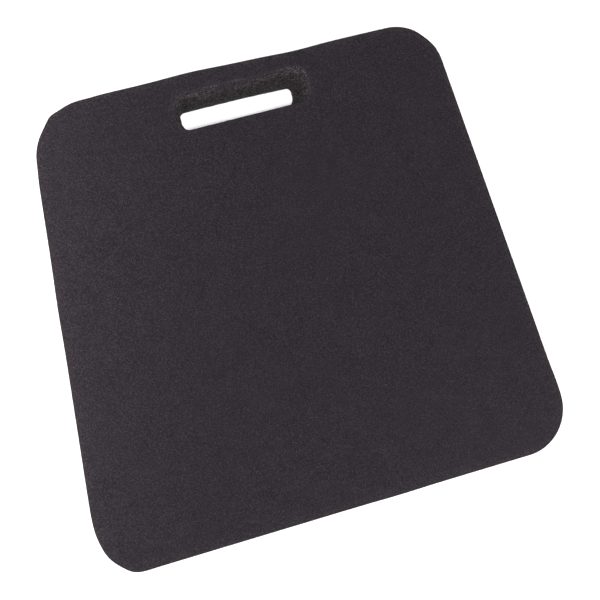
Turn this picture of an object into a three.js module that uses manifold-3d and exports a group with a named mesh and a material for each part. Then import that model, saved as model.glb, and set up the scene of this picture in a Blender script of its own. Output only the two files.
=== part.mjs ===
// Kneeling pad: a die-cut slab of closed-cell foam with a skin on each broad face and a hand slot.
// Millimetres, +Z up. The origin is on the base, at the centre of the pad's bounding box.
// +X runs along the wide edge and +Y points to the narrow handle edge.

import * as THREE from 'three';
import Module from 'manifold-3d';

// Slab
const PAD_DEPTH = 406;              // handle edge to wide edge
const WIDE_EDGE = 448;              // between the sharp corners that the rounding removes
const HANDLE_EDGE = 360;
const PAD_THICKNESS = 38;
const SKIN_THICKNESS = 1.5;
const WIDE_CORNER_RADIUS = 42;
const HANDLE_RIGHT_RADIUS = 43;
const HANDLE_LEFT_RADIUS = 54;      // trimmed a little rounder than the other three
const CORNER_SEGMENTS = 16;

// Hand slot at the kneeling face
const SLOT_LENGTH = 120;
const SLOT_PAD_SIDE_Y = 157;
const SLOT_HANDLE_SIDE_Y = 188;
const SLOT_CORNER_RADIUS = 10;
const SLOT_HANDLE_LEFT_RADIUS = 14;
const SLOT_CORNER_SEGMENTS = 8;

// How far the slot's walls have come in by the time they reach the base, and its handle-side
// corners there. The wall on the pad's side is upright.
const SLOT_LEFT_LEAN = 7;
const SLOT_RIGHT_LEAN = 9;
const SLOT_HANDLE_SIDE_LEAN = 12.4;
const SLOT_BASE_HANDLE_RADIUS = 4.5;
const SLOT_FLARE_POWER = 2.2;       // above 1: the walls lean most at the kneeling face
const SLOT_STEPS = 8;
const CUTTER_OVERRUN = 5;

const wasm = await Module();
wasm.setup();

// The points of a closed outline through the given corners, each rounded by its own radius.
function roundedPolygon(corners, segments) {
  const points = [];
  corners.forEach(({ at, radius }, i) => {
    const before = corners[(i + corners.length - 1) % corners.length].at;
    const after = corners[(i + 1) % corners.length].at;
    const toBefore = before.clone().sub(at).normalize();
    const toAfter = after.clone().sub(at).normalize();
    const halfAngle = Math.acos(toBefore.dot(toAfter)) / 2;
    const bisector = toBefore.clone().add(toAfter).normalize();
    const centre = at.clone().addScaledVector(bisector, radius / Math.sin(halfAngle));
    const tangent = radius / Math.tan(halfAngle);
    const start = at.clone().addScaledVector(toBefore, tangent).sub(centre).angle();
    const sweep = Math.PI - 2 * halfAngle;
    for (let k = 0; k <= segments; k += 1) {
      const angle = start + (sweep * k) / segments;
      points.push(new THREE.Vector2(Math.cos(angle), Math.sin(angle)).multiplyScalar(radius).add(centre));
    }
  });
  return points;
}

function padOutline() {
  const front = -PAD_DEPTH / 2;
  const back = PAD_DEPTH / 2;
  return roundedPolygon([
    { at: new THREE.Vector2(-WIDE_EDGE / 2, front), radius: WIDE_CORNER_RADIUS },
    { at: new THREE.Vector2(WIDE_EDGE / 2, front), radius: WIDE_CORNER_RADIUS },
    { at: new THREE.Vector2(HANDLE_EDGE / 2, back), radius: HANDLE_RIGHT_RADIUS },
    { at: new THREE.Vector2(-HANDLE_EDGE / 2, back), radius: HANDLE_LEFT_RADIUS },
  ], CORNER_SEGMENTS);
}

// The slot's outline at a height: full size at the kneeling face, and narrower towards the base.
function slotOutline(z) {
  const leanShare = 1 - THREE.MathUtils.clamp(z / PAD_THICKNESS, 0, 1) ** SLOT_FLARE_POWER;
  const left = -SLOT_LENGTH / 2 + leanShare * SLOT_LEFT_LEAN;
  const right = SLOT_LENGTH / 2 - leanShare * SLOT_RIGHT_LEAN;
  const handleSide = SLOT_HANDLE_SIDE_Y - leanShare * SLOT_HANDLE_SIDE_LEAN;
  const handleRadius = (radius) => THREE.MathUtils.lerp(radius, SLOT_BASE_HANDLE_RADIUS, leanShare);
  return roundedPolygon([
    { at: new THREE.Vector2(left, SLOT_PAD_SIDE_Y), radius: SLOT_CORNER_RADIUS },
    { at: new THREE.Vector2(right, SLOT_PAD_SIDE_Y), radius: SLOT_CORNER_RADIUS },
    { at: new THREE.Vector2(right, handleSide), radius: handleRadius(SLOT_CORNER_RADIUS) },
    { at: new THREE.Vector2(left, handleSide), radius: handleRadius(SLOT_HANDLE_LEFT_RADIUS) },
  ], SLOT_CORNER_SEGMENTS);
}

// A closed solid through a rising stack of outlines that have the same number of points.
function loftGeometry(outlines, heights) {
  const count = outlines[0].length;
  const top = (heights.length - 1) * count;
  const positions = outlines.flatMap((points, level) => points.flatMap(({ x, y }) => [x, y, heights[level]]));
  const index = [];
  for (let level = 0; level < top; level += count) {
    for (let i = 0; i < count; i += 1) {
      const here = level + i;
      const next = level + ((i + 1) % count);
      index.push(here, next, next + count, here, next + count, here + count);
    }
  }
  THREE.ShapeUtils.triangulateShape(outlines[0], []).forEach(([a, b, c]) => {
    index.push(c, b, a, top + a, top + b, top + c);
  });
  const geometry = new THREE.BufferGeometry();
  geometry.setAttribute('position', new THREE.Float32BufferAttribute(positions, 3));
  geometry.setIndex(index);
  return geometry;
}

// The slot as a solid that runs past both faces.
function slotCutterGeometry() {
  const heights = [-CUTTER_OVERRUN];
  for (let step = 0; step <= SLOT_STEPS; step += 1) heights.push((PAD_THICKNESS * step) / SLOT_STEPS);
  heights.push(PAD_THICKNESS + CUTTER_OVERRUN);
  return loftGeometry(heights.map(slotOutline), heights);
}

function toManifold(geometry) {
  return new wasm.Manifold(new wasm.Mesh({
    numProp: 3,
    vertProperties: new Float32Array(geometry.attributes.position.array),
    triVerts: new Uint32Array(geometry.index.array),
  }));
}

function toGeometry(manifold) {
  const { vertProperties, triVerts } = manifold.getMesh();
  const geometry = new THREE.BufferGeometry();
  geometry.setAttribute('position', new THREE.BufferAttribute(new Float32Array(vertProperties), 3));
  geometry.setIndex(new THREE.BufferAttribute(new Uint32Array(triVerts), 1));
  geometry.computeVertexNormals();
  return geometry;
}

const slotCutter = toManifold(slotCutterGeometry());

// One full-outline layer of the pad between two heights, with the hand slot cut through it.
function layerGeometry(bottom, top) {
  const outline = padOutline();
  const slab = loftGeometry([outline, outline], [bottom, top]);
  return toGeometry(toManifold(slab).subtract(slotCutter));
}

function namedMesh(name, geometry, material) {
  const mesh = new THREE.Mesh(geometry, material);
  mesh.name = name;
  return mesh;
}

// The moulded skin on the underside, which lies on the ground.
function baseSkin() {
  const material = new THREE.MeshStandardMaterial({ color: 0x322f31, roughness: 0.9, metalness: 0 });
  return namedMesh('base_skin', layerGeometry(0, SKIN_THICKNESS), material);
}

// The block of foam, whose cut cells show on the slot walls and the outer edge.
function foamCore() {
  const material = new THREE.MeshStandardMaterial({ color: 0x37332f, roughness: 1, metalness: 0 });
  return namedMesh('foam_core', layerGeometry(SKIN_THICKNESS, PAD_THICKNESS - SKIN_THICKNESS), material);
}

// The fine-grained skin that is knelt on.
function topSkin() {
  const material = new THREE.MeshStandardMaterial({ color: 0x353036, roughness: 0.9, metalness: 0 });
  return namedMesh('top_skin', layerGeometry(PAD_THICKNESS - SKIN_THICKNESS, PAD_THICKNESS), material);
}

const group = new THREE.Group();
group.add(baseSkin(), foamCore(), topSkin());

export default group;
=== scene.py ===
"""Kneeling pad: a die-cut slab of black closed-cell foam with a moulded skin on each broad face.

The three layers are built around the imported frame: the skin that is knelt on, the foam block whose
cut cells show on the slot walls and round the edge, and the skin on the underside. Metres, +Z up,
+X along the wide edge, +Y towards the narrow handle edge.
"""

import math

import bpy
import numpy as np
from mathutils import Matrix, Vector, geometry, noise


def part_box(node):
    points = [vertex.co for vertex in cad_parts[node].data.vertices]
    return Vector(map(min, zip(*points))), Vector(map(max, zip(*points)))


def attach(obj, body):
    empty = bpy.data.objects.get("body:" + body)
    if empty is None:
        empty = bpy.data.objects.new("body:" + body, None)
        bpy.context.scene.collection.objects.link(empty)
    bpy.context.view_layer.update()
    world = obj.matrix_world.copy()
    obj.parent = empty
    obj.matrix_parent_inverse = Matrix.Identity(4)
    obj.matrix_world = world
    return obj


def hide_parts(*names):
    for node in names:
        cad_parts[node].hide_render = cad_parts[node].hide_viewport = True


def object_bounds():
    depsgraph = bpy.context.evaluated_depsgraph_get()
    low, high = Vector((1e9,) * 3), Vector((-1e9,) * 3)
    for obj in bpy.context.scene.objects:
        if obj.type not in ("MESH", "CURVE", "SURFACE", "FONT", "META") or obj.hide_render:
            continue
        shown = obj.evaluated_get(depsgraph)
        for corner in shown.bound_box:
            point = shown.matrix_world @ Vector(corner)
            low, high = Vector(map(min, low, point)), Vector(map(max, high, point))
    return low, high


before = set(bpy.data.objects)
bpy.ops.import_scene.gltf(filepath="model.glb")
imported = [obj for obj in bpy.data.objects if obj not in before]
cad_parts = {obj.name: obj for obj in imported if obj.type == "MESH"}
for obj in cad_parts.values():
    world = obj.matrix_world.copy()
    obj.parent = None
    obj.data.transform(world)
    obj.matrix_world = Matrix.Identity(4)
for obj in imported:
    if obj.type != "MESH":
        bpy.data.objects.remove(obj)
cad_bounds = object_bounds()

MM = 0.001

# Heights come from the frame
PAD_LOW, PAD_HIGH = (np.array(corner) for corner in cad_bounds)
FOAM_LOW, FOAM_HIGH = (np.array(corner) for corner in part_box("foam_core"))
THICKNESS = PAD_HIGH[2] - PAD_LOW[2]

# The slab's plan, as in the CAD
WIDE_EDGE = 448 * MM
HANDLE_EDGE = 360 * MM
WIDE_CORNER_RADIUS = 42 * MM
HANDLE_RIGHT_RADIUS = 43 * MM
HANDLE_LEFT_RADIUS = 54 * MM

# The hand slot, as in the CAD: its place at the kneeling face, and how far its walls come in below
SLOT_LENGTH = 120 * MM
SLOT_PAD_SIDE_Y = 157 * MM
SLOT_HANDLE_SIDE_Y = 188 * MM
SLOT_CORNER_RADIUS = 10 * MM
SLOT_HANDLE_LEFT_RADIUS = 14 * MM
SLOT_LEFT_LEAN = 7 * MM
SLOT_RIGHT_LEAN = 9 * MM
SLOT_HANDLE_SIDE_LEAN = 12.4 * MM
SLOT_BASE_HANDLE_RADIUS = 4.5 * MM
SLOT_FLARE_POWER = 2.2
SLOT_SKEW = 1.2 * MM                # the pad side was cut this far off square, end to end
SLOT_BOW = 1.6 * MM                 # the handle strip springs back at the slot's ends
SLOT_BOW_MIDDLE = 0.2               # and stands out by this share of that at its middle

# Mesh fineness
OUTER_WALL_STEP = 1.02 * MM
SLOT_WALL_STEP = 0.56 * MM
FACE_RIM_STEP = 2 * MM
FACE_GRID_STEP = 3.2 * MM
FACE_GRID_MARGIN = 0.7 * FACE_GRID_STEP
LIP_STEPS = 5

# Lips, walls and edges
LIP_DROP = 1.3 * MM                 # how far down a skin's rounded lip reaches
OUTER_LIP_WIDTH = 1.3 * MM
SLOT_LIP_WIDTH = 2.2 * MM
LIP_RAGGEDNESS = 0.3 * MM           # how unevenly the slot's lip was cut, and how often it changes
LIP_RAG_LENGTH = 2.6 * MM
EDGE_SWELL = 0.55 * MM              # foam springs out this far past the knife line
FOAM_INSET = 0.1 * MM               # the skins stand this proud of the cut foam
PIT_DEPTH = 0.7 * MM
SEAM_WIDTH = 2 * MM                 # within this of a skin the cut is cleaner, down to
SEAM_ROUGHNESS = 0.15               # this share of its roughness
RIM_FADE = 4.5 * MM                 # how far in from the outer edge the skin is painted paler, as glare at its edges; the cut foam's painted edge light fades over the same near the skins
SLOT_RIM_FADE = 1.1 * MM            # and from the slot's edge, where the paler band is a painted highlight on the lip
FRAY_WIDTH = 1.8 * MM
FRAY_EVERYWHERE = 0.08              # the slight fraying all round the slot, painted as pale glints
DRAG_BLEND = 1.5 * MM               # over how much height dragged skin gives way to cut foam
DRAG_RAGGEDNESS = 0.6
DRAG_RAG_LENGTH = 4 * MM

# Waves of the faces and of the cut walls: amplitude, length
FACE_WAVES = [(0.22 * MM, 85 * MM), (0.07 * MM, 24 * MM), (0.03 * MM, 9 * MM)]
FACE_SLICES = [0.3, 1.7, 2.9]       # where each face wave, and the lip's, is cut from its noise
LIP_SLICE = 0.9
CUT_WAVES = [(0.12 * MM, 6 * MM), (0.25 * MM, 38 * MM)]
FACE_FALL = 0.35 * MM               # how far a face falls at its cut edges
FACE_FALL_WIDTH = 5 * MM
# Sliced cells: spacing, size as a share of it, depth as a share of PIT_DEPTH
PITS = [(3.4 * MM, 0.62, 0.7), (1.9 * MM, 0.6, 0.45)]

# Where hand trimming has left the outline off its true line: (x, y), spread, amount outwards
TRIM_MARKS = [
    ((-38 * MM, 203 * MM), 30 * MM, 1.2 * MM),
    ((55 * MM, 203 * MM), 24 * MM, -1.1 * MM),
    ((-164 * MM, 195 * MM), 7 * MM, 1.7 * MM),
    ((-185 * MM, 157 * MM), 10 * MM, -0.8 * MM),
    ((-217 * MM, -168 * MM), 15 * MM, -1.9 * MM),
    ((-194 * MM, -201 * MM), 10 * MM, 1.9 * MM),
    ((-132 * MM, 202 * MM), 12 * MM, -0.7 * MM),
    ((173 * MM, 188 * MM), 9 * MM, -0.7 * MM),
    ((-198 * MM, 36 * MM), 28 * MM, 0.5 * MM),
    ((217 * MM, -145 * MM), 14 * MM, 0.6 * MM),
    ((50 * MM, -203 * MM), 25 * MM, 0.4 * MM),
]
# Where the knife frayed the skin at the slot's lip, painted pale as glints of light: (x, y), spread,
# strength
FRAY_GLINT_MARKS = [
    ((59 * MM, 183 * MM), 10 * MM, 0.9),
    ((44 * MM, 188 * MM), 7 * MM, 0.5),
    ((62 * MM, 168 * MM), 8 * MM, 0.22),
    ((-2 * MM, 188 * MM), 7 * MM, 0.4),
    ((-25 * MM, 188 * MM), 7 * MM, 0.4),
    ((-55 * MM, 186 * MM), 8 * MM, 0.3),
]
# Where it dragged the skin down the slot's wall: (x, y), spread, how far down
DRAG_MARKS = [
    ((-10 * MM, 186 * MM), 13 * MM, 7.5 * MM),
    ((10 * MM, 186 * MM), 8 * MM, 5 * MM),
]


# ---------------------------------------------------------------- outlines

def outline_runs(corners):
    """The arcs and straight runs round a polygon with (x, y, radius) corners.

    Each is a length and a function that gives the point and outward normal at a share of it.
    """
    spots = [np.array(c[:2], float) for c in corners]
    arcs = []
    for i, (_, _, radius) in enumerate(corners):
        before = spots[i - 1] - spots[i]
        after = spots[(i + 1) % len(spots)] - spots[i]
        before /= np.linalg.norm(before)
        after /= np.linalg.norm(after)
        half = math.acos(before @ after) / 2
        bisector = (before + after) / np.linalg.norm(before + after)
        centre = spots[i] + bisector * radius / math.sin(half)
        first = spots[i] + before * radius / math.tan(half) - centre
        arcs.append((centre, radius, math.atan2(first[1], first[0]), math.pi - 2 * half))

    def on_arc(arc, share):
        centre, radius, start, sweep = arc
        normal = np.array([math.cos(start + share * sweep), math.sin(start + share * sweep)])
        return centre + radius * normal, normal

    runs = []
    for arc, following in zip(arcs, arcs[1:] + arcs[:1]):
        runs.append((arc[1] * arc[3], lambda t, arc=arc: on_arc(arc, t)))
        (a, normal), (b, _) = on_arc(arc, 1), on_arc(following, 0)
        runs.append((np.linalg.norm(b - a), lambda t, a=a, b=b, n=normal: (a + (b - a) * t, n)))
    return runs


def even_steps(corners, step):
    """Evenly spaced places round a rounded polygon, as (run, share of it)."""
    lengths = [length for length, _ in outline_runs(corners)]
    ends = np.cumsum(lengths)
    count = 2 * round(ends[-1] / step / 2)
    steps = []
    for distance in np.arange(count) * ends[-1] / count:
        run = int(np.searchsorted(ends, distance, side="right"))
        steps.append((run, 1 - (ends[run] - distance) / lengths[run]))
    return steps


def trace(corners, steps):
    """The points and outward normals of a rounded polygon at the given places."""
    runs = outline_runs(corners)
    places = [runs[run][1](share) for run, share in steps]
    return np.array([point for point, _ in places]), np.array([normal for _, normal in places])


def bumps(points, marks):
    """The sum at each point of round-topped bumps, given as ((x, y), spread, amount)."""
    total = np.zeros(len(points))
    for spot, spread, amount in marks:
        away = np.linalg.norm(points[:, :2] - np.array(spot), axis=1)
        total += amount * np.exp(-((away / spread) ** 2))
    return total


def pad_outline(step):
    """The slab's edge with its trimming marks."""
    front, back = PAD_LOW[1], PAD_HIGH[1]
    corners = [
        (-WIDE_EDGE / 2, front, WIDE_CORNER_RADIUS),
        (WIDE_EDGE / 2, front, WIDE_CORNER_RADIUS),
        (HANDLE_EDGE / 2, back, HANDLE_RIGHT_RADIUS),
        (-HANDLE_EDGE / 2, back, HANDLE_LEFT_RADIUS),
    ]
    points, normals = trace(corners, even_steps(corners, step))
    out = EDGE_SWELL + bumps(points, TRIM_MARKS)
    return points + normals * out[:, None], normals


def lean_share(z):
    """How much of their lean the slot's walls have taken up at a height: 0 at the top, 1 at the base."""
    height = min(max((z - PAD_LOW[2]) / THICKNESS, 0), 1)
    return 1 - height ** SLOT_FLARE_POWER


def slot_corners(z):
    """The slot's rounded corners at a height."""
    share = lean_share(z)
    left = -SLOT_LENGTH / 2 + share * SLOT_LEFT_LEAN
    right = SLOT_LENGTH / 2 - share * SLOT_RIGHT_LEAN
    handle_side = SLOT_HANDLE_SIDE_Y - share * SLOT_HANDLE_SIDE_LEAN
    right_radius, left_radius = (
        (1 - share) * radius + share * SLOT_BASE_HANDLE_RADIUS
        for radius in (SLOT_CORNER_RADIUS, SLOT_HANDLE_LEFT_RADIUS))
    return [
        (left, SLOT_PAD_SIDE_Y - SLOT_SKEW / 2, SLOT_CORNER_RADIUS),
        (right, SLOT_PAD_SIDE_Y + SLOT_SKEW / 2, SLOT_CORNER_RADIUS),
        (right, handle_side, right_radius),
        (left, handle_side, left_radius),
    ]


def slot_steps(step):
    """Evenly spaced places round the slot's edge at the kneeling face."""
    return even_steps(slot_corners(PAD_HIGH[2]), step)


def slot_at(steps, z):
    """The slot's edge at a height, and its normals, which point out of the slot into the foam."""
    points, normals = trace(slot_corners(z), steps)
    along = points[:, 0] / (SLOT_LENGTH / 2)
    across = (points[:, 1] - SLOT_PAD_SIDE_Y) / (SLOT_HANDLE_SIDE_Y - SLOT_PAD_SIDE_Y)
    bow = lean_share(z) * SLOT_BOW * (SLOT_BOW_MIDDLE - along ** 2)
    points[:, 1] += bow * np.clip(across, 0, 1)
    return points, normals


# ---------------------------------------------------------------- meshes

def lift(points, z):
    """Plan points with a height, as rows of three."""
    return np.column_stack([points, np.broadcast_to(z, len(points))])


class Shell:
    """Collects the points and faces of one closed layer with a hole through it."""

    def __init__(self):
        self.points = []
        self.faces = []

    def ring(self, points):
        """Adds a loop of points and returns their indices."""
        first = len(self.points)
        self.points.extend(map(tuple, points))
        return list(range(first, len(self.points)))

    def wall(self, rings, outward):
        """Joins loops that run downwards. outward: the wall faces away from the loops' inside."""
        for upper, lower in zip(rings, rings[1:]):
            for i in range(len(upper)):
                j = (i + 1) % len(upper)
                quad = (upper[i], lower[i], lower[j], upper[j])
                self.faces.append(quad if outward else quad[::-1])

    def face(self, outer, inner, between, up):
        """Fills between two loops with triangles through the extra points between them."""
        indices = outer + inner + self.ring(between)
        plan = [Vector(self.points[i][:2]) for i in indices]
        n, m = len(outer), len(inner)
        edges = [(i, (i + 1) % n) for i in range(n)]
        edges += [(n + i, n + (i + 1) % m) for i in range(m)]
        hole = np.array(plan[n:n + m])
        _, _, triangles, origins, _, _ = geometry.delaunay_2d_cdt(plan, edges, [], 1, 1e-9)
        for triangle in triangles:
            corners = [origins[v][0] for v in triangle]
            a, b, c = (plan[v] for v in corners)
            if all(n <= v < n + m for v in corners) and inside((a + b + c) / 3, hole):
                continue
            if ((b - a).cross(c - a) > 0) != up:
                corners.reverse()
            self.faces.append(tuple(indices[v] for v in corners))

    def make(self, name):
        mesh = bpy.data.meshes.new(name)
        mesh.from_pydata(self.points, [], self.faces)
        mesh.validate()
        mesh.shade_smooth()
        piece = bpy.data.objects.new(name, mesh)
        bpy.context.collection.objects.link(piece)
        return piece


def points_of(piece):
    return np.array([v.co for v in piece.data.vertices])


def mark(piece, name, values):
    """Stores a value from 0 to 1 at each point, for the material."""
    layer = piece.data.attributes.new(name, "FLOAT", "POINT")
    layer.data.foreach_set("value", np.clip(values, 0, 1).astype(np.float32))


def smooth_noise(point, size):
    """Perlin noise from -1 to 1 with features of the given size, at a point in metres."""
    return noise.noise(Vector(point) / size)


def pores(point, size, share):
    """0 between pores and 1 at the middle of one, for pores spaced size apart."""
    nearest = noise.voronoi(Vector(point) / size)[0][0]
    return max(0.0, 1 - (nearest / share) ** 2)


def distance_to(points, loop):
    """The plan distance from each point to a closed loop of closely spaced points."""
    out = np.empty(len(points))
    for first in range(0, len(points), 2000):
        block = points[first:first + 2000, None, :2] - loop[None, :, :2]
        out[first:first + 2000] = np.sqrt((block ** 2).sum(2).min(1))
    return out


def face_grid(outer, slot):
    """Staggered points that fill the face, clear of its two rims."""
    rows = np.arange(PAD_LOW[1], PAD_HIGH[1], FACE_GRID_STEP * math.sin(math.pi / 3))
    columns = np.arange(PAD_LOW[0], PAD_HIGH[0], FACE_GRID_STEP)
    grid = np.array([(x + (k % 2) * FACE_GRID_STEP / 2, y) for k, y in enumerate(rows) for x in columns])
    keep = distance_to(grid, outer) > FACE_GRID_MARGIN
    keep &= distance_to(grid, slot) > FACE_GRID_MARGIN
    return np.array([p for p in grid[keep] if inside(p, outer) and not inside(p, slot)])


def inside(point, loop):
    """True if the point is inside the closed loop."""
    x, y = point[0] - loop[:, 0], point[1] - loop[:, 1]
    x_next, y_next = np.roll(x, -1), np.roll(y, -1)
    crosses = (y > 0) != (y_next > 0)
    with np.errstate(divide="ignore", invalid="ignore"):
        at = x - y * (x_next - x) / (y_next - y)
    return bool(np.count_nonzero(crosses & (at > 0)) % 2)


def face_relief(points, outer, slot):
    """How far the moulded face stands off its flat plane: soft waves, and a fall towards cut edges."""
    edge = np.minimum(distance_to(points, outer), distance_to(points, slot))
    relief = -FACE_FALL * np.exp(-((edge / FACE_FALL_WIDTH) ** 2))
    for (amplitude, length), z in zip(FACE_WAVES, FACE_SLICES):
        relief += amplitude * np.array([smooth_noise((x, y, z), length) for x, y in points[:, :2]])
    return relief


def skin(name, top):
    """A moulded skin: the broad face with its waves, soft lips at both cut edges, and a flat back."""
    face_z, back_z = (PAD_HIGH[2], FOAM_HIGH[2]) if top else (PAD_LOW[2], FOAM_LOW[2])
    inward = -1 if top else 1
    outer, outer_normal = pad_outline(FACE_RIM_STEP)
    steps = slot_steps(FACE_RIM_STEP / 2)
    slot_face, _ = slot_at(steps, face_z)

    shell = Shell()
    outer_rings, slot_rings = [], []
    ragged = LIP_RAGGEDNESS * np.array([smooth_noise((*p, LIP_SLICE), LIP_RAG_LENGTH) for p in slot_face])
    for k in range(LIP_STEPS + 1):
        angle = math.pi / 2 * k / LIP_STEPS
        across = 1 - math.sin(angle)
        z = face_z + inward * LIP_DROP * (1 - math.cos(angle))
        outer_rings.append(lift(outer - outer_normal * OUTER_LIP_WIDTH * across, z))
        edge, normal = slot_at(steps, z)
        slot_rings.append(lift(edge + normal * (SLOT_LIP_WIDTH * across + ragged)[:, None], z))
    outer_rings.append(lift(outer, back_z))
    slot_rings.append(lift(slot_at(steps, back_z)[0], back_z))

    grid = face_grid(outer_rings[0], slot_rings[0])
    face_points = lift(grid, face_z)
    for points in (outer_rings[0], slot_rings[0], face_points):
        points[:, 2] += face_relief(points, outer, slot_face) * (1 if top else -1)
    for rings in (outer_rings, slot_rings):
        fall = rings[0][:, 2] - face_z
        for k, ring in enumerate(rings[1:-1], start=1):
            ring[:, 2] += fall * (1 - k / LIP_STEPS)

    outer_ids = [shell.ring(r) for r in outer_rings]
    slot_ids = [shell.ring(r) for r in slot_rings]
    shell.wall(outer_ids, outward=top)
    shell.wall(slot_ids, outward=not top)
    shell.face(outer_ids[0], slot_ids[0], face_points, up=top)
    shell.face(outer_ids[-1], slot_ids[-1], [], up=not top)
    piece = shell.make(name)
    points = points_of(piece)
    from_slot = distance_to(points, slot_face)
    # Painted light: paler towards the outer edge as glare, and along the slot's lip as a highlight
    mark(piece, "rim_light", np.maximum(np.exp(-distance_to(points, outer) / RIM_FADE),
                                  np.exp(-from_slot / SLOT_RIM_FADE)))
    # Painted highlight: the frayed lip is painted pale as glints
    glinting_fray = FRAY_EVERYWHERE + bumps(points, FRAY_GLINT_MARKS)
    mark(piece, "fray_glint", glinting_fray * np.exp(-((from_slot / FRAY_WIDTH) ** 2)))
    return piece


def foam_pits(points):
    """How deep into a sliced cell each point of a cut wall lies: 0 on a cell wall, 1 on a deep floor."""
    return np.array([
        min(1.0, sum(depth * pores(p, spacing, share) for spacing, share, depth in PITS))
        for p in points])


def cut_foam(points, normals, pits):
    """Points of a cut foam wall pushed in where cells are sliced open, with slow knife waves."""
    waves = np.array([
        sum(height * smooth_noise(p, length) for height, length in CUT_WAVES)
        for p in points])
    from_skin = np.minimum(FOAM_HIGH[2] - points[:, 2], points[:, 2] - FOAM_LOW[2])
    push = (waves - PIT_DEPTH * pits) * np.clip(from_skin / SEAM_WIDTH, SEAM_ROUGHNESS, 1)
    moved = points.copy()
    moved[:, :2] += normals * push[:, None]
    return moved


def foam_block(name):
    """The foam between the skins, with cut cells on its outer edge and on the slot's walls."""
    low, high = FOAM_LOW[2], FOAM_HIGH[2]
    outer, outer_normal = pad_outline(OUTER_WALL_STEP)
    steps = slot_steps(SLOT_WALL_STEP)
    outer_rows = round((high - low) / OUTER_WALL_STEP)
    slot_rows = round((high - low) / SLOT_WALL_STEP)

    shell = Shell()
    pits = []

    def cut_ring(edge, normal, z):
        ring = lift(edge, z)
        pits.append(foam_pits(ring))
        return shell.ring(cut_foam(ring, normal, pits[-1]))

    outer_ids = [cut_ring(outer - outer_normal * FOAM_INSET, outer_normal, z)
                 for z in np.linspace(high, low, outer_rows + 1)]
    slot_ids = []
    for z in np.linspace(high, low, slot_rows + 1):
        edge, normal = slot_at(steps, z)
        slot_ids.append(cut_ring(edge + normal * FOAM_INSET, -normal, z))
    shell.wall(outer_ids, outward=True)
    shell.wall(slot_ids, outward=False)
    shell.face(outer_ids[0], slot_ids[0], [], up=True)
    shell.face(outer_ids[-1], slot_ids[-1], [], up=False)
    piece = shell.make(name)
    points = points_of(piece)
    z = points[:, 2]
    mark(piece, "pit", np.concatenate(pits))
    # Painted light: the cut foam is painted paler near both skins, as light at its edges
    mark(piece, "rim_light", np.exp(-np.minimum(high - z, z - low) / RIM_FADE))
    ragged = DRAG_RAGGEDNESS * np.array([smooth_noise(p, DRAG_RAG_LENGTH) for p in points])
    dragged = bumps(points, DRAG_MARKS) * (1 + ragged)
    mark(piece, "drag", (dragged - (high - z)) / DRAG_BLEND)
    return piece


# ---------------------------------------------------------------- materials

# How far apart the grains and cells of the surfaces are
SKIN_GRAIN = 0.78 * MM
SKIN_MOTTLE = 16 * MM
SPECK_SPACING = 2.1 * MM
FRAY_TUFT = 1.3 * MM
COARSE_CELL = 2.5 * MM
FINE_CELL = 1.15 * MM
FOAM_CRUMB = 0.7 * MM
FLOOR_SHADING = 0.8

# How their shapes are pulled about: over what length, and how far
FRAY_WARP = (0.9 * MM, 0.6 * MM)
TORN_WARP = (1.0 * MM, 0.45 * MM)

# Heights of the relief that the materials add
SKIN_RELIEF = 0.13 * MM
CELL_RELIEF = 0.6 * MM
CRUMB_RELIEF = 0.25 * MM

# Colours, as (dark, light) where a grain mixes them
KNEELING_TONES = ((0.0043, 0.0028, 0.0046), (0.0284, 0.022, 0.0305))
UNDERSIDE_TONES = ((0.004, 0.0033, 0.004), (0.0267, 0.0223, 0.027))
CUT_TONES = ((0.0015, 0.0012, 0.0013), (0.091, 0.075, 0.0775))
DRAGGED_TONES = ((0.013, 0.0103, 0.0135), (0.078, 0.061, 0.081))
FLOOR_TONES = ((0.88, 0.88, 0.88), (0.9, 0.9, 0.9))
# The frayed lip's pale colour is a painted glint
FRAY_GLINT_COLOUR = (0.165, 0.146, 0.158)
TORN_COLOUR = (0.15, 0.129, 0.134)
SPECK_GAIN = 2
# Painted light: how much paler the edges are painted, on the skins and on the cut foam near them
SKIN_RIM_GLARE_TINT = (1.5, 1.56, 1.28)
CUT_RIM_LIGHT_TINT = (1.47, 1.47, 1.5)
FOAM_SPECULAR = 0.2
FLOOR_ROUGHNESS = 0.9


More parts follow.
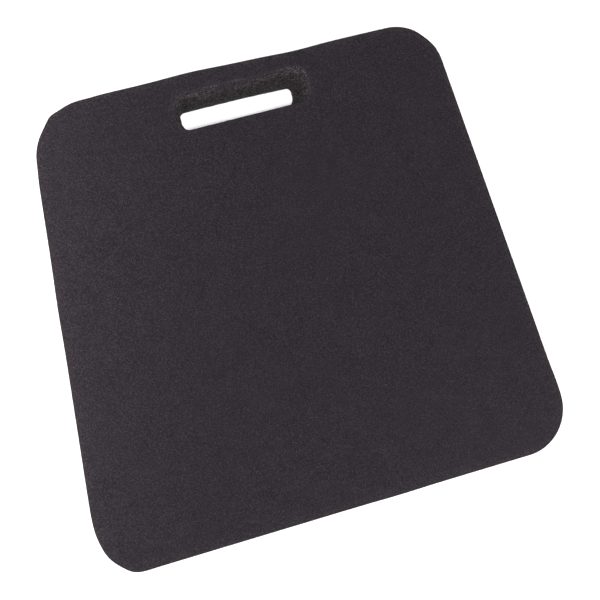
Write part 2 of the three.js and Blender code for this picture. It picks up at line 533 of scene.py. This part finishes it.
class Nodes:
    """A small helper that adds and links shader nodes."""

    def __init__(self, name):
        self.material = bpy.data.materials.new(name)
        self.material.use_nodes = True
        self.tree = self.material.node_tree
        self.shader = self.tree.nodes["Principled BSDF"]
        self.place = self.add("ShaderNodeTexCoord").outputs["Object"]

    def add(self, kind, **settings):
        node = self.tree.nodes.new(kind)
        for key, value in settings.items():
            setattr(node, key, value)
        return node

    def link(self, source, target):
        self.tree.links.new(source, target)

    def noise(self, size, detail=2.0, roughness=0.5, output="Fac"):
        node = self.add("ShaderNodeTexNoise")
        node.inputs["Scale"].default_value = 1 / size
        node.inputs["Detail"].default_value = detail
        node.inputs["Roughness"].default_value = roughness
        self.link(self.place, node.inputs["Vector"])
        return node.outputs[output]

    def cells(self, size, output="Distance", feature="F1", place=None):
        node = self.add("ShaderNodeTexVoronoi", feature=feature)
        node.inputs["Scale"].default_value = 1 / size
        self.link(place or self.place, node.inputs["Vector"])
        return node.outputs[output]

    def warped(self, size, amount):
        """The place, shifted by up to the given amount in a pattern of the given size."""
        shift = self.add("ShaderNodeVectorMath", operation="MULTIPLY_ADD")
        self.link(self.noise(size, output="Color"), shift.inputs[0])
        shift.inputs[1].default_value = (2 * amount,) * 3
        self.link(self.place, shift.inputs[2])
        return shift.outputs["Vector"]

    def attribute(self, name):
        return self.add("ShaderNodeAttribute", attribute_name=name).outputs["Fac"]

    def ramp(self, value, low, high, first=0.0, last=1.0):
        node = self.add("ShaderNodeMapRange")
        self.link(value, node.inputs["Value"])
        for key, number in (("From Min", low), ("From Max", high), ("To Min", first), ("To Max", last)):
            node.inputs[key].default_value = number
        return node.outputs["Result"]

    def math(self, operation, a, b):
        node = self.add("ShaderNodeMath", operation=operation)
        for socket, value in zip(node.inputs, (a, b)):
            if isinstance(value, (int, float)):
                socket.default_value = value
            else:
                self.link(value, socket)
        return node.outputs[0]

    def mix(self, share, a, b):
        node = self.add("ShaderNodeMix", data_type="RGBA")
        self.link(share, node.inputs["Factor"])
        for socket, value in ((node.inputs[6], a), (node.inputs[7], b)):
            if isinstance(value, tuple):
                socket.default_value = (*value, 1)
            else:
                self.link(value, socket)
        return node.outputs[2]

    def tint(self, colour, factors):
        node = self.add("ShaderNodeMix", data_type="RGBA", blend_type="MULTIPLY")
        node.inputs["Factor"].default_value = 1
        self.link(colour, node.inputs[6])
        node.inputs[7].default_value = (*factors, 1)
        return node.outputs[2]

    def bump(self, height, distance, below=None):
        node = self.add("ShaderNodeBump")
        node.inputs["Distance"].default_value = distance
        self.link(height, node.inputs["Height"])
        if below is not None:
            self.link(below, node.inputs["Normal"])
        return node.outputs["Normal"]


def skin_material(name, tones):
    """Matte moulded foam skin: a fine even grain, faint mottling, pale specks, edges painted paler as
    glare and highlight, and a frayed lip painted with pale glints.
    """
    n = Nodes(name)
    grain = n.noise(SKIN_GRAIN, detail=3.0, roughness=0.45)
    mottle = n.noise(SKIN_MOTTLE, detail=3.0)
    tone = n.math("ADD", n.ramp(grain, 0.415, 0.65, 0, 0.88), n.ramp(mottle, 0.3, 0.7, 0.01, 0.11))
    colour = n.mix(tone, *tones)
    speck = n.ramp(n.cells(SPECK_SPACING), 0.12, 0.22, 0.6, 0)
    colour = n.mix(speck, colour, tuple(SPECK_GAIN * c for c in tones[1]))
    # Painted glare and highlight: paler at the outer edge and along the slot's lip
    colour = n.mix(n.attribute("rim_light"), colour, n.tint(colour, SKIN_RIM_GLARE_TINT))
    tufts = n.ramp(n.cells(FRAY_TUFT, place=n.warped(*FRAY_WARP)), 0.15, 0.5, 1, 0)
    # Painted glints on the frayed lip
    glinting_fray = n.math("MULTIPLY", tufts, n.attribute("fray_glint"))
    n.link(n.mix(glinting_fray, colour, FRAY_GLINT_COLOUR), n.shader.inputs["Base Color"])
    n.link(n.ramp(grain, 0.3, 0.7, 0.8, 0.95), n.shader.inputs["Roughness"])
    n.link(n.bump(grain, SKIN_RELIEF), n.shader.inputs["Normal"])
    n.shader.inputs["Specular IOR Level"].default_value = FOAM_SPECULAR
    return n.material


def foam_material(name):
    """Cut foam: sliced cells whose floors are darkened with painted shade, and paler torn walls, neutral
    to slightly brown.
    """
    n = Nodes(name)
    torn = n.warped(*TORN_WARP)
    coarse = n.cells(COARSE_CELL, "Color", place=torn)
    fine = n.cells(FINE_CELL, "Color", place=torn)
    walls = n.cells(FINE_CELL, feature="DISTANCE_TO_EDGE", place=torn)
    crumbs = n.noise(FOAM_CRUMB, detail=2.0, roughness=0.65)
    tone = n.ramp(coarse, 0.2, 0.8, 0, 0.26)
    for part in (n.ramp(fine, 0.2, 0.8, 0, 0.32), n.ramp(walls, 0.02, 0.16, 0.22, 0),
                 n.ramp(crumbs, 0.36, 0.64, 0, 0.32)):
        tone = n.math("ADD", tone, part)
    # Painted shade: the sliced cells are darker the deeper they are
    tone = n.math("MULTIPLY", tone, n.ramp(n.attribute("pit"), 0.1, 0.9, 1, 0.35))
    colour = n.mix(tone, *CUT_TONES)
    torn_up = n.math("MULTIPLY", n.ramp(fine, 0.64, 0.78), n.ramp(crumbs, 0.42, 0.6))
    colour = n.mix(torn_up, colour, TORN_COLOUR)
    colour = n.mix(n.attribute("drag"), colour, n.mix(tone, *DRAGGED_TONES))
    # Painted edge light: paler near the skins
    colour = n.mix(n.attribute("rim_light"), colour, n.tint(colour, CUT_RIM_LIGHT_TINT))
    n.link(colour, n.shader.inputs["Base Color"])
    n.link(n.ramp(crumbs, 0.3, 0.7, 0.85, 1.0), n.shader.inputs["Roughness"])
    relief = n.bump(n.ramp(walls, 0, 0.25, 1, 0), CELL_RELIEF)
    n.link(n.bump(crumbs, CRUMB_RELIEF, below=relief), n.shader.inputs["Normal"])
    n.shader.inputs["Specular IOR Level"].default_value = FOAM_SPECULAR
    return n.material


def floor_material():
    n = Nodes("floor")
    shade = n.noise(FLOOR_SHADING, detail=2.0)
    n.link(n.mix(shade, *FLOOR_TONES), n.shader.inputs["Base Color"])
    n.shader.inputs["Roughness"].default_value = FLOOR_ROUGHNESS
    return n.material


# ---------------------------------------------------------------- pieces

def add_piece(piece, node, material):
    piece.data.materials.append(material)
    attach(piece, "root")
    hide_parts(node)


add_piece(skin("kneeling_skin", top=True), "top_skin",
          skin_material("kneeling_skin", KNEELING_TONES))
add_piece(foam_block("foam_block"), "foam_core", foam_material("cut_foam"))
add_piece(skin("underside_skin", top=False), "base_skin",
          skin_material("underside_skin", UNDERSIDE_TONES))


# ---------------------------------------------------------------- stage

FLOOR_SIZE = 8.0
FLOOR_GAP = 0.2 * MM                # clear of the waves on the underside
CAMERA_TARGET = Vector((5.3 * MM, -10.5 * MM, PAD_HIGH[2]))
CAMERA_DISTANCE = 1.058
CAMERA_AZIMUTH = math.radians(156.1)
CAMERA_ELEVATION = math.radians(79.57)
CAMERA_ROLL = math.radians(99.2)
CAMERA_LENS_MM = 72
# The room's light falls from the horizon's to the overhead one between these heights of the
# direction, given as its Z
WORLD_FALL = (0.05, 0.25)


def towards(azimuth, elevation):
    """The unit vector at an angle round from +X and up from the floor."""
    flat = math.cos(elevation)
    return Vector((flat * math.cos(azimuth), flat * math.sin(azimuth), math.sin(elevation)))


def add_camera():
    data = bpy.data.cameras.new("camera")
    data.lens = CAMERA_LENS_MM
    camera = bpy.data.objects.new("camera", data)
    bpy.context.collection.objects.link(camera)
    away = towards(CAMERA_AZIMUTH, CAMERA_ELEVATION)
    aim = (-away).to_track_quat("-Z", "Y").to_matrix().to_4x4()
    place = Matrix.Translation(CAMERA_TARGET + away * CAMERA_DISTANCE)
    camera.matrix_world = place @ aim @ Matrix.Rotation(CAMERA_ROLL, 4, "Z")
    bpy.context.scene.camera = camera


def add_light(name, location, target, size, power, spread=180):
    """A soft area light of the given width and length, aimed at the target, that no camera sees."""
    data = bpy.data.lights.new(name, "AREA")
    data.shape = "RECTANGLE"
    data.size, data.size_y = size
    data.energy = power
    data.spread = math.radians(spread)
    light = bpy.data.objects.new(name, data)
    light.visible_camera = False
    bpy.context.collection.objects.link(light)
    light.location = location
    light.rotation_euler = (Vector(target) - Vector(location)).to_track_quat("-Z", "Y").to_euler()


def add_floor():
    mesh = bpy.data.meshes.new("floor")
    half = FLOOR_SIZE / 2
    z = PAD_LOW[2] - FLOOR_GAP
    corners = [(-half, -half, z), (half, -half, z), (half, half, z), (-half, half, z)]
    mesh.from_pydata(corners, [], [(0, 1, 2, 3)])
    floor = bpy.data.objects.new("floor", mesh)
    floor.data.materials.append(floor_material())
    bpy.context.collection.objects.link(floor)


def add_sun(name, away, angle, strength):
    """A soft sun that shines from the given direction, as wide as the angle in degrees."""
    data = bpy.data.lights.new(name, "SUN")
    data.angle = math.radians(angle)
    data.energy = strength
    sun = bpy.data.objects.new(name, data)
    bpy.context.collection.objects.link(sun)
    sun.rotation_euler = (-Vector(away)).to_track_quat("-Z", "Y").to_euler()


def set_world(overhead, horizon):
    """A white room, with its own strengths of light at the horizon and overhead."""
    world = bpy.data.worlds.new("studio")
    world.use_nodes = True
    nodes, links = world.node_tree.nodes, world.node_tree.links
    split = nodes.new("ShaderNodeSeparateXYZ")
    links.new(nodes.new("ShaderNodeTexCoord").outputs["Generated"], split.inputs["Vector"])
    fall = nodes.new("ShaderNodeMapRange")
    links.new(split.outputs["Z"], fall.inputs["Value"])
    fall.inputs["From Min"].default_value, fall.inputs["From Max"].default_value = WORLD_FALL
    fall.inputs["To Min"].default_value = horizon
    fall.inputs["To Max"].default_value = overhead
    background = nodes["Background"]
    background.inputs["Color"].default_value = (1, 1, 1, 1)
    links.new(fall.outputs["Result"], background.inputs["Strength"])
    bpy.context.scene.world = world


add_camera()
add_floor()
set_world(overhead=0.32, horizon=1.0)
add_sun("overhead", away=(0.0, -0.085, 1), angle=10, strength=3.4)
add_light("left_strip", location=(-0.265, 0.052, 0.175), target=(-0.245, 0.048, 0.04),
          size=(0.7, 0.06), power=0.57, spread=150)
add_light("front_strip", location=(0.08, -0.33, 0.15), target=(0.0, -0.12, 0.03),
          size=(0.7, 0.12), power=0.38)
bpy.context.scene.view_settings.view_transform = "Standard"
